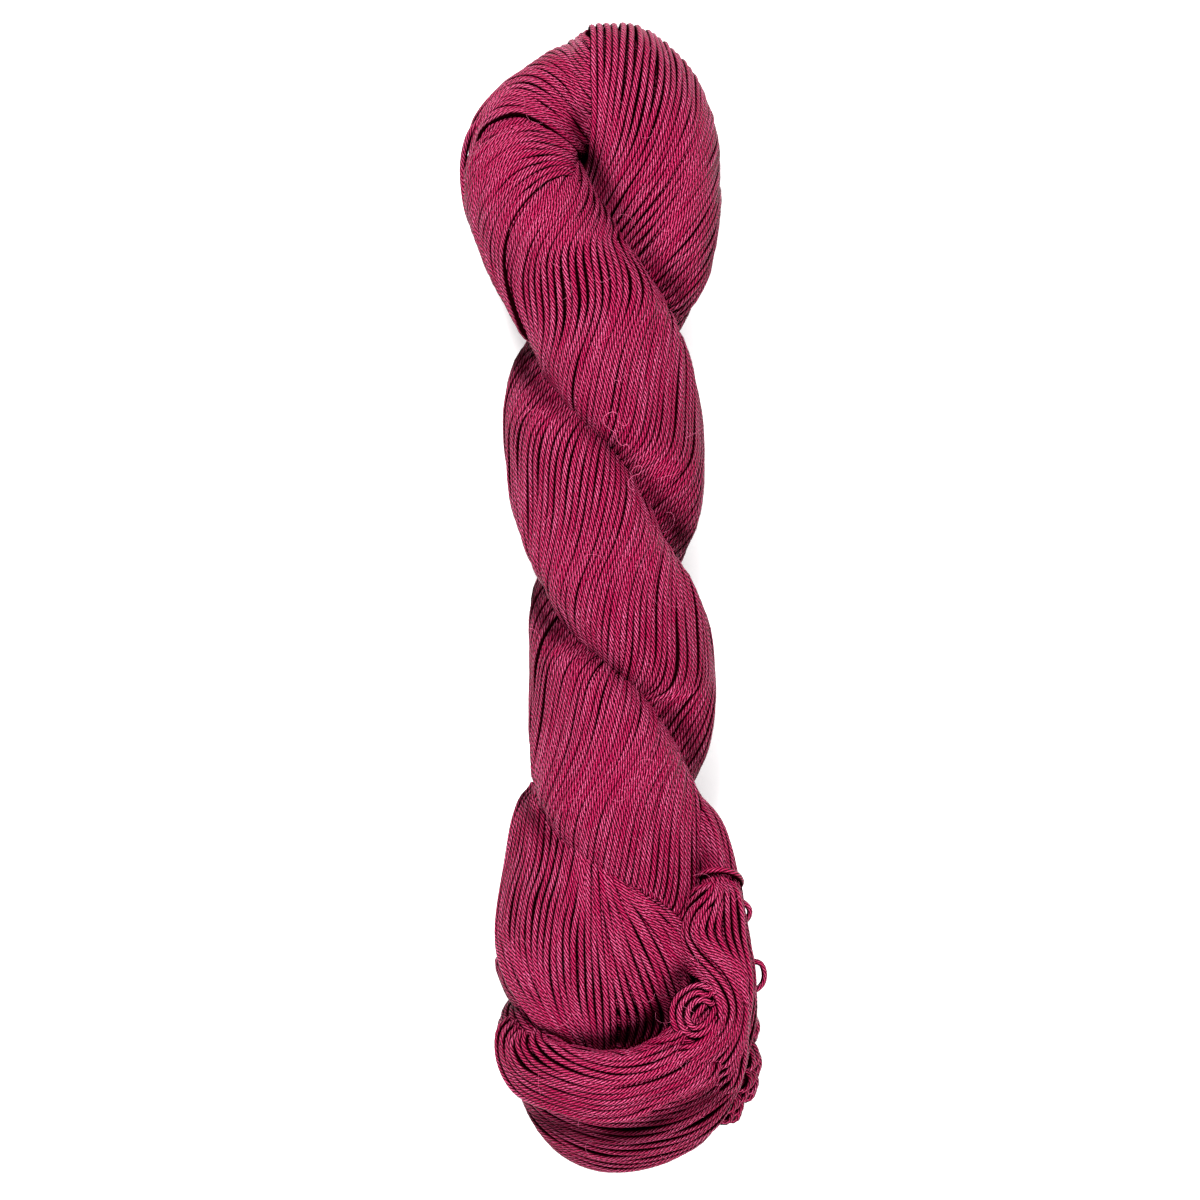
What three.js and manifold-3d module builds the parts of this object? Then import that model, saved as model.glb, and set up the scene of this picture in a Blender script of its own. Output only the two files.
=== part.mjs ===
// Skein of cotton yarn: a reeled hank twisted on itself, folded in two and locked by tucking
// one end through the opened eye of the other. Millimetres, +Z up, lying flat on Z = 0, with
// its length along Y and the fold at +Y.

import * as THREE from 'three';
import { mergeVertices } from 'three/addons/utils/BufferGeometryUtils.js';
import Module from 'manifold-3d';

// Driving dimensions
const STRAND = 1.8;
const STEP = 5.6;
const FOLD_STEP = 3.6;
const SIDES = 24;
const FULLNESS = 2.4;
const FLATTENED = 1.0;
const CENTRE_X = -0.19;
const CENTRE_Y = 0.12;
const TIE_GAP = 0.3;

const YARN_COLOUR = 0x96294d;
const YARN_ROUGHNESS = 0.6;

// The eye that the hank is folded round
const EYE = { x: -7.3, y: 111.5, radius: 1.3 };

// The yarn at the back that closes the eye below, so that it is a pit and not a hole
const EYE_FLOOR = { x: -7, y: 108.5, z: 14, radius: 8 };

// Columns of the section tables: the middle of the section, the way its outer face looks, half its
// width across that, and how far it reaches outwards and inwards from the middle.
const COLUMNS = ['x', 'y', 'z', 'outX', 'outY', 'outZ', 'wide', 'outer', 'inner'];

// First arm, from its lower end hidden behind the pouch up to the fold
const FIRST_ARM = [
  [8, -101, 8, 0, 0, -1, 9, 7, 7],
  [11, -88, 12, 0.2, 0, -1, 12.5, 8, 8],
  [16, -71, 21, 1, 0, 0.1, 17, 10, 13],
  [-0.2, -45.25, 35, 0, 0, 1, 18.5, 12, 13],
  [-10.5, -17, 22, -1, 0, 0, 17, 10.5, 13],
  [-1, 9.75, 12, 0, 0, -1, 15.2, 12, 13],
  [11.5, 38.5, 22, 1, 0, 0, 17, 11, 13],
  [-2.5, 66.75, 35, 0, 0, 1, 17.5, 12, 13],
  [-12.5, 85, 31, -0.7, 0, 0.7, 16.5, 15.6, 14],
];

// The fold: sections that stand round the eye, from the left side over the top to the right.
// Columns: angle in degrees from +X, height of the middle, half the thickness, reach from the eye.
const FOLD_COLUMNS = ['angle', 'z', 'thick', 'reach'];
const FOLD = [
  [207, 24.5, 16, 31.8],
  [185, 20.5, 16, 29.2],
  [163, 17, 15.5, 28.3],
  [137, 15.4, 14.5, 26.1],
  [112, 14.5, 13.5, 26.2],
  [91, 13.6, 12.5, 29.4],
  [74, 15.8, 15, 33.2],
  [49, 16.8, 16, 32.3],
  [24, 17, 16, 31.4],
  [0, 17.5, 16, 31.9],
];

// Second arm, from the fold down through the pouch to its tucked end
const SECOND_ARM = [
  [10.3, 90, 18.5, 1, -0.1, -0.15, 16.5, 12.9, 14],
  [-2.5, 66.75, 12, 0, 0, -1, 15, 12, 13],
  [-15, 43, 22, -1, 0, 0, 17, 12.6, 13],
  [-2.2, 9.75, 35, 0, 0, 1, 16.3, 12, 13],
  [13.5, -17.5, 22, 1, 0, 0, 17, 12, 13],
  [0.5, -45.25, 12, 0, 0, -1, 16, 12, 13],
  [-13.2, -60.5, 20, -1, 0, 0.35, 16, 12.8, 13],
  [-7.3, -80, 27.5, -0.3, 0, 1, 24.5, 11.5, 12],
  [-1.8, -93.3, 26, -0.1, 0, 1, 24.4, 10.5, 10],
  [2, -107.5, 21, 0.1, -0.2, 1, 19.5, 9.5, 9],
  [13, -115.5, 14, 0.1, 0, 1, 13, 9, 8],
  [24, -113.5, 9.5, 0, 0, 1, 12, 9, 8],
  [31, -112, 8.7, 0, 0, 1, 11, 7.5, 7.5],
  [34.5, -112, 8, 0, 0, 1, 7.5, 4.5, 4.5],
];

// The opened eye of the first arm, which makes the pouch: down the narrow limb on the right, round
// the front as a broad band, and back behind the second arm. Columns: the band's rim on the pouch's
// side, its outer edge, and half its thickness.
const BAND_COLUMNS = ['rimX', 'rimY', 'rimZ', 'edgeX', 'edgeY', 'edgeZ', 'thick'];
const BAND = [
  [11, -44.5, 22.5, 13, -47.5, 15.5, 4],
  [19.6, -54.5, 29.5, 23.8, -56, 20.8, 4.7],
  [22.8, -67.8, 32.5, 30, -68.2, 25.6, 4.5],
  [18.3, -82, 36, 33, -82, 26, 6],
  [22.2, -91, 36.5, 34, -91, 27, 6.3],
  [20.5, -98.5, 38, 34, -101, 26, 6.5],
  [15.5, -105.5, 39, 33, -111, 24.5, 6.5],
  [10, -110, 39, 30, -122.5, 19, 7],
  [3.5, -112.3, 38.5, 19.5, -135.5, 13, 7.5],
  [-3.5, -113, 37.5, 1, -141.5, 9.5, 7.8],
  [-10.5, -111.8, 35, -13.8, -135.8, 10.5, 7],
  [-17, -108, 31, -21, -123.5, 11, 6],
  [-22.3, -102, 26, -24.5, -114.5, 10, 5.5],
  [-22.5, -99, 18.5, -22, -109, 8.3, 5.5],
  [-18, -95, 11.5, -15, -105, 4.5, 6],
  [-9, -89, 9, -4, -101.5, 6, 6.5],
  [3, -82, 10, 9.4, -98, 10.5, 6.5],
];

// Turned-over strand ends that scallop the tucked end at the right.
// Columns: the middle of each tip and its radius.
const TIP_COLUMNS = ['x', 'y', 'z', 'radius'];
const TIP_ROOT = { x: 24, y: -111, z: 9.5 };
const TIPS = [
  [33.6, -92.5, 14, 3.0],
  [33.4, -104.5, 11, 3.4],
  [34.0, -111.5, 8.5, 3.2],
  [32.8, -118.5, 7.5, 3.6],
  [29.4, -125.0, 7.5, 3.4],
];

// The curl of strands at the pouch's inner edge: middle, half sizes of its oval, thickness
const CURL = { x: 19.8, y: -102.5, z: 34, halfX: 4.2, halfY: 6.4, radius: 2.2, tilt: -0.35 };

// The tie round the narrow limb: middle, half sizes of its oval, and how much its plane leans
const TIE = { x: 26.1, y: -69.5, z: 28.6, halfX: 5.6, halfZ: 6.0, lean: 0.5 };

const named = (columns, row) => Object.fromEntries(columns.map((name, i) => [name, row[i]]));

const armRow = (row) => named(COLUMNS, row);

function foldRow(row) {
  const { angle, z, thick, reach } = named(FOLD_COLUMNS, row);
  const turn = THREE.MathUtils.degToRad(angle);
  const middle = (EYE.radius + reach) / 2;
  const half = (reach - EYE.radius) / 2;
  return {
    x: EYE.x + middle * Math.cos(turn),
    y: EYE.y + middle * Math.sin(turn),
    z,
    outX: Math.cos(turn),
    outY: Math.sin(turn),
    outZ: 0,
    wide: thick,
    outer: half,
    inner: half,
  };
}

function bandRow(row) {
  const { rimX, rimY, rimZ, edgeX, edgeY, edgeZ, thick } = named(BAND_COLUMNS, row);
  return {
    x: (rimX + edgeX) / 2,
    y: (rimY + edgeY) / 2,
    z: (rimZ + edgeZ) / 2,
    sideX: rimX - edgeX,
    sideY: rimY - edgeY,
    sideZ: rimZ - edgeZ,
    wide: Math.hypot(rimX - edgeX, rimY - edgeY, rimZ - edgeZ) / 2,
    outer: thick,
    inner: thick,
  };
}

// A smooth curve through the rows: each column is a Catmull-Rom spline of the row number
function between(rows, t) {
  const k = Math.min(Math.floor(t), rows.length - 2);
  const f = t - k;
  const [p0, p1, p2, p3] = [k - 1, k, k + 1, k + 2].map(
    (i) => rows[THREE.MathUtils.clamp(i, 0, rows.length - 1)]
  );
  const blend = (a, b, c, d) =>
    0.5 * (2 * b + (c - a) * f + (2 * a - 5 * b + 4 * c - d) * f * f + (3 * b - a - 3 * c + d) * f ** 3);
  return Object.fromEntries(
    Object.keys(p1).map((name) => [name, blend(p0[name], p1[name], p2[name], p3[name])])
  );
}

const middleOf = (row) => new THREE.Vector3(row.x, row.y, row.z);

// Row numbers that are an equal distance apart along the middle line
function evenSteps(rows, first, last, step) {
  const samples = Math.round((last - first) * 40);
  const lengths = [0];
  const at = (i) => first + ((last - first) * i) / samples;
  for (let i = 1; i <= samples; i += 1) {
    const stride = middleOf(between(rows, at(i))).distanceTo(middleOf(between(rows, at(i - 1))));
    lengths.push(lengths[i - 1] + stride);
  }
  const total = lengths[samples];
  const count = Math.max(2, Math.round(total / step));
  const numbers = [];
  let i = 0;
  for (let n = 0; n <= count; n += 1) {
    const target = (total * n) / count;
    while (i < samples - 1 && lengths[i + 1] < target) {
      i += 1;
    }
    const part = (target - lengths[i]) / (lengths[i + 1] - lengths[i]);
    numbers.push(at(i + THREE.MathUtils.clamp(part, 0, 1)));
  }
  return numbers;
}

// The yarn is soft, so whatever would hang below the surface it lies on is pressed flat there
function placed(point) {
  return new THREE.Vector3(point.x - CENTRE_X, point.y - CENTRE_Y, Math.max(0, point.z - FLATTENED));
}

// One section's outline: a rounded oval that may reach further outwards than inwards
function sectionRing(rows, t) {
  const row = between(rows, t);
  const ahead = middleOf(between(rows, Math.min(t + 1e-3, rows.length - 1)));
  const behind = middleOf(between(rows, Math.max(t - 1e-3, 0)));
  const along = ahead.sub(behind).normalize();
  const out = new THREE.Vector3(row.outX, row.outY, row.outZ).normalize();
  const side = new THREE.Vector3(row.sideX, row.sideY, row.sideZ).normalize();
  if ('sideX' in row) {
    out.crossVectors(side, along).normalize();
  } else {
    side.crossVectors(along, out).normalize();
  }
  const rounded = (value) => Math.sign(value) * Math.abs(value) ** (2 / FULLNESS);
  const ring = [];
  for (let i = 0; i < SIDES; i += 1) {
    const angle = (2 * Math.PI * i) / SIDES;
    const reach = Math.cos(angle) > 0 ? row.outer : row.inner;
    const point = middleOf(row)
      .addScaledVector(out, reach * rounded(Math.cos(angle)))
      .addScaledVector(side, row.wide * rounded(Math.sin(angle)));
    ring.push(placed(point));
  }
  return ring;
}

// A closed skin over rings of points, with a flat fan at each end
function skin(rings) {
  const sides = rings[0].length;
  const points = rings.flat();
  const faces = [];
  for (let r = 0; r < rings.length - 1; r += 1) {
    for (let i = 0; i < sides; i += 1) {
      const a = r * sides + i;
      const b = r * sides + ((i + 1) % sides);
      faces.push(a, b, a + sides, b, b + sides, a + sides);
    }
  }
  const lastRing = (rings.length - 1) * sides;
  for (const [start, flip] of [[0, true], [lastRing, false]]) {
    const hub = new THREE.Vector3();
    for (let i = 0; i < sides; i += 1) {
      hub.addScaledVector(points[start + i], 1 / sides);
    }
    points.push(hub);
    for (let i = 0; i < sides; i += 1) {
      const a = start + i;
      const b = start + ((i + 1) % sides);
      faces.push(points.length - 1, flip ? b : a, flip ? a : b);
    }
  }
  const geometry = new THREE.BufferGeometry().setFromPoints(points);
  geometry.setIndex(faces);
  return geometry;
}

function bundle(rows, first, last, step = STEP) {
  return skin(evenSteps(rows, first, last, step).map((t) => sectionRing(rows, t)));
}

// A closed oval ring of round section; its path is a function of the angle
function ovalRing(path, radius, steps, sides) {
  const points = [];
  for (let s = 0; s < steps; s += 1) {
    const here = path((2 * Math.PI * s) / steps);
    const ahead = path((2 * Math.PI * (s + 0.01)) / steps);
    const along = ahead.sub(here).normalize();
    const out = new THREE.Vector3(0, 0, 1).addScaledVector(along, -along.z);
    if (out.length() < 0.2) {
      out.set(1, 0, 0).addScaledVector(along, -along.x);
    }
    out.normalize();
    const side = new THREE.Vector3().crossVectors(along, out);
    for (let i = 0; i < sides; i += 1) {
      const angle = (2 * Math.PI * i) / sides;
      points.push(
        here
          .clone()
          .addScaledVector(out, radius * Math.cos(angle))
          .addScaledVector(side, radius * Math.sin(angle))
      );
    }
  }
  const faces = [];
  for (let s = 0; s < steps; s += 1) {
    for (let i = 0; i < sides; i += 1) {
      const a = s * sides + i;
      const b = s * sides + ((i + 1) % sides);
      const c = ((s + 1) % steps) * sides + i;
      const d = ((s + 1) % steps) * sides + ((i + 1) % sides);
      faces.push(a, b, c, b, d, c);
    }
  }
  const geometry = new THREE.BufferGeometry().setFromPoints(points);
  geometry.setIndex(faces);
  return geometry;
}

function curlPath(angle) {
  const x = CURL.halfX * Math.cos(angle);
  const y = CURL.halfY * Math.sin(angle);
  return placed(new THREE.Vector3(CURL.x + x, CURL.y + y, CURL.z + CURL.tilt * x));
}

function tiePath(angle) {
  const x = TIE.halfX * Math.cos(angle);
  const z = TIE.halfZ * Math.sin(angle);
  return placed(new THREE.Vector3(TIE.x + x, TIE.y + TIE.lean * z, TIE.z + z));
}

function tip(row) {
  const { x, y, z, radius } = named(TIP_COLUMNS, row);
  const end = new THREE.Vector3(x, y, z);
  const root = new THREE.Vector3(TIP_ROOT.x, TIP_ROOT.y, TIP_ROOT.z);
  const along = end.clone().sub(root);
  const shape = new THREE.CapsuleGeometry(radius, along.length(), 4, 10, 1);
  const turn = new THREE.Quaternion().setFromUnitVectors(
    new THREE.Vector3(0, 1, 0),
    along.clone().normalize()
  );
  shape.applyQuaternion(turn);
  const middle = end.add(root).multiplyScalar(0.5);
  shape.translate(middle.x, middle.y, middle.z);
  const position = shape.getAttribute('position');
  for (let i = 0; i < position.count; i += 1) {
    const point = placed(new THREE.Vector3().fromBufferAttribute(position, i));
    position.setXYZ(i, point.x, point.y, point.z);
  }
  return shape;
}

function eyeFloor() {
  const shape = new THREE.SphereGeometry(EYE_FLOOR.radius, 12, 8);
  shape.translate(EYE_FLOOR.x - CENTRE_X, EYE_FLOOR.y - CENTRE_Y, EYE_FLOOR.z - FLATTENED);
  return shape;
}

// Joining and cutting
const wasm = await Module();
wasm.setup();

function solid(geometry) {
  geometry.deleteAttribute('normal');
  geometry.deleteAttribute('uv');
  const merged = mergeVertices(geometry, 1e-4);
  const mesh = new wasm.Mesh({
    numProp: 3,
    vertProperties: new Float32Array(merged.getAttribute('position').array),
    triVerts: new Uint32Array(merged.getIndex().array),
  });
  return new wasm.Manifold(mesh);
}

function geometryOf(manifold) {
  const mesh = manifold.getMesh();
  const geometry = new THREE.BufferGeometry();
  geometry.setAttribute('position', new THREE.BufferAttribute(mesh.vertProperties, 3));
  geometry.setIndex(new THREE.BufferAttribute(mesh.triVerts, 1));
  geometry.computeVertexNormals();
  return geometry;
}

const windings = [...FIRST_ARM.map(armRow), ...FOLD.map(foldRow), ...SECOND_ARM.map(armRow)];
const foldStart = FIRST_ARM.length;
const foldEnd = FIRST_ARM.length + FOLD.length - 1;
const band = BAND.map(bandRow);

const pieces = [
  bundle(windings, 0, foldStart),
  bundle(windings, foldStart, foldEnd, FOLD_STEP),
  bundle(windings, foldEnd, windings.length - 1),
  bundle(band, 0, band.length - 1),
  eyeFloor(),
  ...TIPS.map(tip),
  ovalRing(curlPath, CURL.radius, 16, 8),
];
const channel = solid(ovalRing(tiePath, STRAND / 2 + TIE_GAP, 24, 8));
const wound = pieces.map(solid).reduce((whole, piece) => whole.add(piece));

function yarn(name, geometry) {
  const material = new THREE.MeshStandardMaterial({
    color: YARN_COLOUR,
    roughness: YARN_ROUGHNESS,
    metalness: 0,
  });
  const mesh = new THREE.Mesh(geometry, material);
  mesh.name = name;
  return mesh;
}

const skein = new THREE.Group();
skein.add(yarn('hank', geometryOf(wound.subtract(channel))));
skein.add(yarn('tie', ovalRing(tiePath, STRAND / 2, 24, 8)));

export default skein;
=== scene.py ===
import math

import bpy
import numpy as np
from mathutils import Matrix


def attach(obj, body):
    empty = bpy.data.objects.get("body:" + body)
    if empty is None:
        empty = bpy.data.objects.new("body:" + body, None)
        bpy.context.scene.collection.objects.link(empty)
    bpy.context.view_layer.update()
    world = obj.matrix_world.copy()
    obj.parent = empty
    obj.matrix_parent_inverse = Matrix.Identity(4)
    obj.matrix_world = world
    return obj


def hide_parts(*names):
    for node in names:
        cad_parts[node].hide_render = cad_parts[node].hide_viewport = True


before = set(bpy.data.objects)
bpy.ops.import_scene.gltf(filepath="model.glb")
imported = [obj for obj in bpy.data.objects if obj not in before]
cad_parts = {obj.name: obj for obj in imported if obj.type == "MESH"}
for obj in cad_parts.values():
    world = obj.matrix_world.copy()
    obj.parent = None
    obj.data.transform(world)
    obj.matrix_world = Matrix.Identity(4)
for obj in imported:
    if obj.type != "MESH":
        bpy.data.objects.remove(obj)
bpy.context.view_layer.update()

# The winding of the two arms and the fold
# One long cotton strand, reeled into a hoop of some hundred turns, twisted on itself and
# folded in two. The outermost strands lie side by side round each arm and hold by friction.
MILLIMETRE = 0.001
STRAND = 1.8
FULLNESS = 2.4
# the tables' x y of the model's middle, and how far the yarn is pressed flat underneath
CENTRE = (-0.19, 0.12)
FLATTENED = 1.0
EYE = (-7.3, 111.5)
EYE_RADIUS = 1.3
TUBE_SIDES = 8
TUBE_STEP = 1.7
OUTLINE_POINTS = 97
CROWDED_AT = 1.6
CROWD_SLOPE = 2.2
EASE = 0.04
SUNK = 1.1
HIGHEST_LIFT = 0.4
GROUP_WAVES = 8
ARM_STRANDS = 57
STRANDS_IN_A_GROUP = 19
# x y z of the section's middle, the way its outer face looks, half its width, its reach
# outwards and inwards, and the turns that the strands gain from the row before
FIRST_ARM = [
    (8, -101, 8, 0, 0, -1, 9, 7, 7, 0.0),
    (11, -88, 12, 0.2, 0, -1, 12.5, 8, 8, 0.15),
    (16, -71, 21, 1, 0, 0.1, 17, 10, 13, 0.3),
    (-0.2, -45.25, 35, 0, 0, 1, 18.5, 12, 13, 0.52),
    (-10.5, -17, 22, -1, 0, 0, 17, 10.5, 13, 0.54),
    (-1, 9.75, 12, 0, 0, -1, 15.2, 12, 13, 0.45),
    (11.5, 38.5, 22, 1, 0, 0, 17, 11, 13, 0.48),
    (-2.5, 66.75, 35, 0, 0, 1, 17.5, 12, 13, 0.55),
    (-12.5, 85, 31, -0.7, 0, 0.7, 16.5, 15.6, 14, 0.25),
]
# angle round the eye, height of the middle, half the thickness, reach from the eye, turns
FOLD = [
    (207, 24.5, 16, 31.8, 0.45),
    (185, 20.5, 16, 29.2, 0.24),
    (163, 17, 15.5, 28.3, 0.14),
    (137, 15.4, 14.5, 26.1, 0.12),
    (112, 14.5, 13.5, 26.2, 0.12),
    (91, 13.6, 12.5, 29.4, 0.35),
    (74, 15.8, 15, 33.2, 0.36),
    (49, 16.8, 16, 32.3, 0.24),
    (24, 17, 16, 31.4, 0.17),
    (0, 17.5, 16, 31.9, 0.08),
]
SECOND_ARM = [
    (10.3, 90, 18.5, 1, -0.1, -0.15, 16.5, 12.9, 14, 0.2),
    (-2.5, 66.75, 12, 0, 0, -1, 15, 12, 13, 0.5),
    (-15, 43, 22, -1, 0, 0, 17, 12.6, 13, 0.48),
    (-2.2, 9.75, 35, 0, 0, 1, 16.3, 12, 13, 0.5),
    (13.5, -17.5, 22, 1, 0, 0, 17, 12, 13, 0.54),
    (0.5, -45.25, 12, 0, 0, -1, 16, 12, 13, 0.4),
    (-13.2, -60.5, 20, -1, 0, 0.35, 16, 12.8, 13, 0.45),
    (-7.3, -80, 27.5, -0.3, 0, 1, 24.5, 11.5, 12, 0.45),
    (-1.8, -93.3, 26, -0.1, 0, 1, 24.4, 10.5, 10, 0.05),
    (2, -107.5, 21, 0.1, -0.2, 1, 19.5, 9.5, 9, -0.02),
    (13, -115.5, 14, 0.1, 0, 1, 13, 9, 8, 0.0),
    (24, -113.5, 9.5, 0, 0, 1, 12, 9, 8, 0.0),
    (31, -112, 8.7, 0, 0, 1, 11, 7.5, 7.5, 0.0),
    (34.5, -112, 8, 0, 0, 1, 7.5, 4.5, 4.5, 0.0),
]


def fold_section(row):
    """A section that stands on a ray from the eye: its middle lies halfway between the eye's
    radius and the reach, and its outer face looks along the ray."""
    angle, z, thick, reach, turns = row
    ray = (math.cos(math.radians(angle)), math.sin(math.radians(angle)))
    middle = (EYE_RADIUS + reach) / 2
    half = (reach - EYE_RADIUS) / 2
    return (EYE[0] + middle * ray[0], EYE[1] + middle * ray[1], z, *ray, 0, thick, half, half, turns)


def through(rows, t):
    """Catmull-Rom: between rows k and k + 1 each column is the cubic that passes through both
    and leaves each parallel to the line between its neighbours."""
    k = np.clip(np.floor(t).astype(int), 0, len(rows) - 2)
    f = (t - k)[..., None]
    a, b, c, d = (rows[np.clip(k + i, 0, len(rows) - 1)] for i in (-1, 0, 1, 2))
    second, third = 2 * a - 5 * b + 4 * c - d, 3 * b - a - 3 * c + d
    return 0.5 * (2 * b + (c - a) * f + second * f**2 + third * f**3)


def unit(vectors):
    """Each vector divided by its length."""
    return vectors / (np.linalg.norm(vectors, axis=-1, keepdims=True) + 1e-12)


def even_rows(rows, first, last, step):
    """Row numbers that are the same distance apart along the middle line."""
    t = np.linspace(first, last, int((last - first) * 60) + 1)
    strides = np.linalg.norm(np.diff(through(rows, t)[:, :3], axis=0), axis=1)
    length = np.concatenate([[0], np.cumsum(strides)])
    return np.interp(np.linspace(0, length[-1], max(4, round(length[-1] / step)) + 1), length, t)


def frames(rows, t, by_side=False):
    """Middle, along, out and side at row numbers t. along is the middle line's direction. The
    table gives out, and side = along x out; or by_side it gives side, and out = side x along."""
    values = through(rows, t)
    ahead = through(rows, np.minimum(t + 1e-3, len(rows) - 1))
    behind = through(rows, np.maximum(t - 1e-3, 0))
    along = unit((ahead - behind)[..., :3])
    given = unit(values[..., 3:6])
    if by_side:
        return values, along, unit(np.cross(given, along)), given
    return values, along, given, unit(np.cross(along, given))


def on_outline(rows, t, angle, inset, by_side=False):
    """Points of the sections' outlines: middle + (reach - inset) cos^e out + (wide - inset)
    sin^e side, where e = 2 / FULLNESS makes an ellipse into a rounded oval."""
    values, along, out, side = frames(rows, t, by_side)
    c, s = np.cos(angle), np.sin(angle)
    reach = np.where(c > 0, values[..., 7], values[..., 8]) - inset
    wide = values[..., 6] - inset
    rounded_c = np.sign(c) * np.abs(c) ** (2 / FULLNESS)
    rounded_s = np.sign(s) * np.abs(s) ** (2 / FULLNESS)
    return values[..., :3] + (reach * rounded_c)[..., None] * out + (wide * rounded_s)[..., None] * side


def outward(rows, t, angle, by_side=False):
    """The way the outline's own surface looks: cos^(2 - e) / reach out + sin^(2 - e) / wide side."""
    values, _, out, side = frames(rows, t, by_side)
    c, s = np.cos(angle), np.sin(angle)
    reach = np.where(c > 0, values[..., 7], values[..., 8])
    power = 2 - 2 / FULLNESS
    slope_c = np.sign(c) * np.abs(c) ** power / reach
    slope_s = np.sign(s) * np.abs(s) ** power / values[..., 6]
    return unit(slope_c[..., None] * out + slope_s[..., None] * side)


def evenly_round(rows, t, share, inset, by_side=False):
    """The outline angle at which each share of the outline's own length is reached. Each
    section's lengths are raised by twice its number, so that one table serves them all."""
    angle = np.linspace(0, 2 * np.pi, OUTLINE_POINTS)
    every = np.repeat(t[:, None], OUTLINE_POINTS, 1)
    ring = on_outline(rows, every, np.tile(angle, (len(t), 1)), inset, by_side)
    length = np.cumsum(np.linalg.norm(np.diff(ring, axis=1, prepend=ring[:, :1]), axis=2), axis=1)
    place = 2.0 * np.arange(len(t))
    known = (length / length[:, -1:] + place[:, None]).ravel()
    whole = np.floor(share)
    found = np.interp((share - whole + place).ravel(), known, np.tile(angle, len(t)))
    return found.reshape(share.shape)


def waves(rng, count, length, shortest, longest, parts=3):
    """Smooth noise for each strand: the sum of a few sine waves along it, of unit strength."""
    total = np.zeros((count, length.shape[-1]))
    for _ in range(parts):
        wave = rng.uniform(shortest, longest, (count, 1))
        phase = rng.uniform(0, 2 * np.pi, (count, 1))
        total += np.sin(2 * np.pi * length / wave + phase)
    return total / math.sqrt(parts / 2)


def lengths(points):
    """Distance along each path from its first point."""
    strides = np.linalg.norm(np.diff(points, axis=1), axis=2)
    return np.concatenate([np.zeros((len(points), 1)), np.cumsum(strides, axis=1)], axis=1)


def wound(rows, count, t, seed, faster=0.0, group=0.07, own=0.07, lift=0.22, by_side=False):
    """Strands round a bundle: strand i starts at share i / count of the outline and gains each
    step's turns, times 1 + faster cos(2 pi share), since the outer face's way is longer, and
    eases back towards an even spacing. Smooth noise moves it `group` and `own` strand widths
    sideways and `lift` millimetres outwards."""
    rng = np.random.default_rng(seed)
    middle = through(rows, t)[:, :3]
    length = np.concatenate([[0], np.cumsum(np.linalg.norm(np.diff(middle, axis=0), axis=1))])
    number = np.arange(count)[:, None] / count
    together = np.zeros((count, len(t)))
    for _ in range(GROUP_WAVES):
        lobes = rng.integers(2, 12)
        wave = rng.uniform(50, 140) * rng.choice([-1, 1])
        phase = rng.uniform(0, 2 * np.pi)
        together += np.sin(2 * np.pi * (lobes * number + length[None] / wave) + phase)
    gained = np.diff(through(rows, t)[:, 9])
    place = number[:, 0]
    places = [place]
    for turn in gained:
        place = place + turn * (1 + faster * np.cos(2 * np.pi * place))
        place = place + EASE * ((place - number[:, 0]).mean() + number[:, 0] - place)
        places.append(place)
    share = np.stack(places, axis=1)
    share = share + (group * together / 2 + own * waves(rng, count, length, 18, 60)) / count
    angle = evenly_round(rows, t, share, STRAND / 2, by_side)
    up = np.minimum(lift * waves(rng, count, length, 20, 70), HIGHEST_LIFT)
    every = np.tile(t, (count, 1))
    out = outward(rows, every, angle, by_side)
    return sunk(on_outline(rows, every, angle, STRAND / 2 - up, by_side), out, round_it=True), out


def sunk(points, out, round_it=False):
    """Where neighbours come closer than a strand's width, every second strand goes under the
    others, by as much as they crowd."""
    gap = np.linalg.norm(np.roll(points, -1, 0) - points, axis=2)
    if not round_it:
        gap[-1] = gap[-2]
    gap = np.minimum(gap, np.roll(gap, 1, 0)) if round_it else gap
    crowd = np.clip((CROWDED_AT - gap) / CROWDED_AT * CROWD_SLOPE, 0, 1)
    under = (np.arange(len(points)) % 2)[:, None] * crowd * SUNK
    return points - under[..., None] * out


def placed(points):
    """From the tables' origin to the model's, in metres. The yarn is soft, so whatever would
    hang lower than a strand's radius above the surface rests on it."""
    moved = points - np.array([CENTRE[0], CENTRE[1], FLATTENED])
    moved[..., 2] = np.maximum(moved[..., 2], STRAND / 2)
    return moved * MILLIMETRE


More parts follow.
